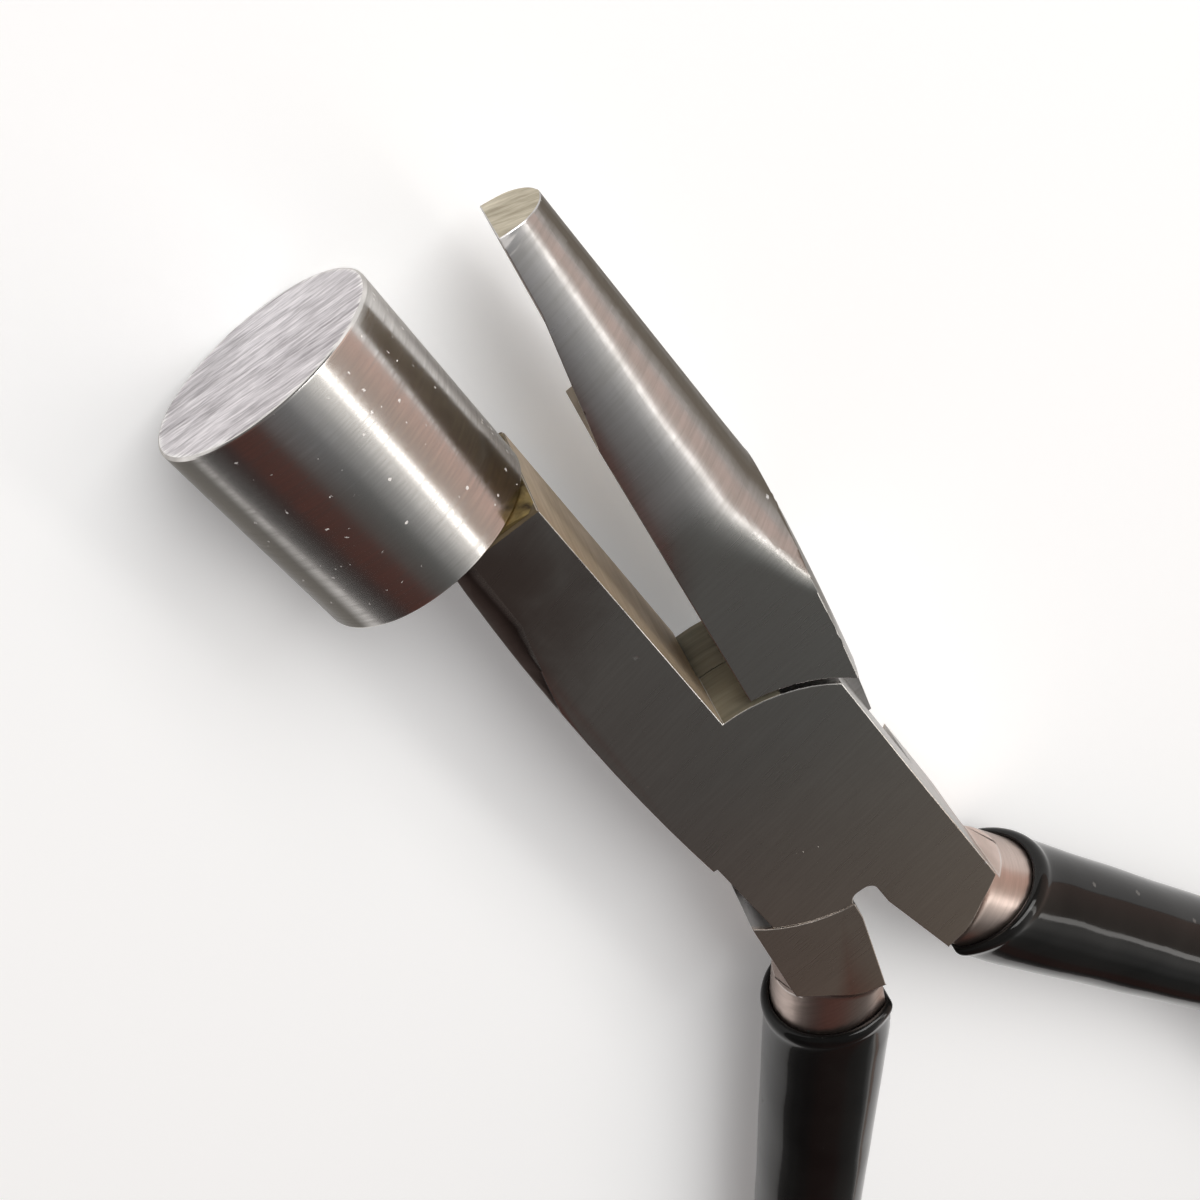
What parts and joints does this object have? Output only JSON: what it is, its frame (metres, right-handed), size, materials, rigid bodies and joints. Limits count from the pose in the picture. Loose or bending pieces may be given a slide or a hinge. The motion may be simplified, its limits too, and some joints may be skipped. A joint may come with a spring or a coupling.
{
  "type": "looping pliers",
  "caption": "Looping pliers with a short thick round mandrel on one arm, a stepped flat-faced half-round jaw on the other, a lap joint and dipped bow handles.",
  "frame": {"origin": "the point on the pivot axis where it meets the back flat of the joint", "axes": "+Y from the pivot to the jaw tips, parallel to the mandrel's axis; +Z along the pivot, out of the front flat; +X towards the flat jaw"},
  "size_m": [0.066, 0.1476, 0.013],
  "materials": {
    "brushed_arm_steel": "ground flats with a fine grain across the arms",
    "turned_mandrel_steel": "turned and polished side, sanded end",
    "braze_metal": "dull, heat tinted",
    "black_vinyl": "glossy dipped coating"
  },
  "bodies": {
    "mandrel_side": {"mandrel_arm": "brushed_arm_steel", "mandrel": "turned_mandrel_steel", "braze_seam": "braze_metal", "pivot_rivet": "brushed_arm_steel", "mandrel_arm_grip": "black_vinyl"},
    "jaw_side": {"flat_jaw_arm": "brushed_arm_steel", "flat_jaw_arm_grip": "black_vinyl"}
  },
  "joints": [
    {"name": "jaw_pivot", "type": "hinge", "parent": "mandrel_side", "child": "jaw_side", "pos_m": [0, 0, 0.0047], "axis": [0, 0, 1], "range_deg": [-53.5, 7.7]}
  ]
}
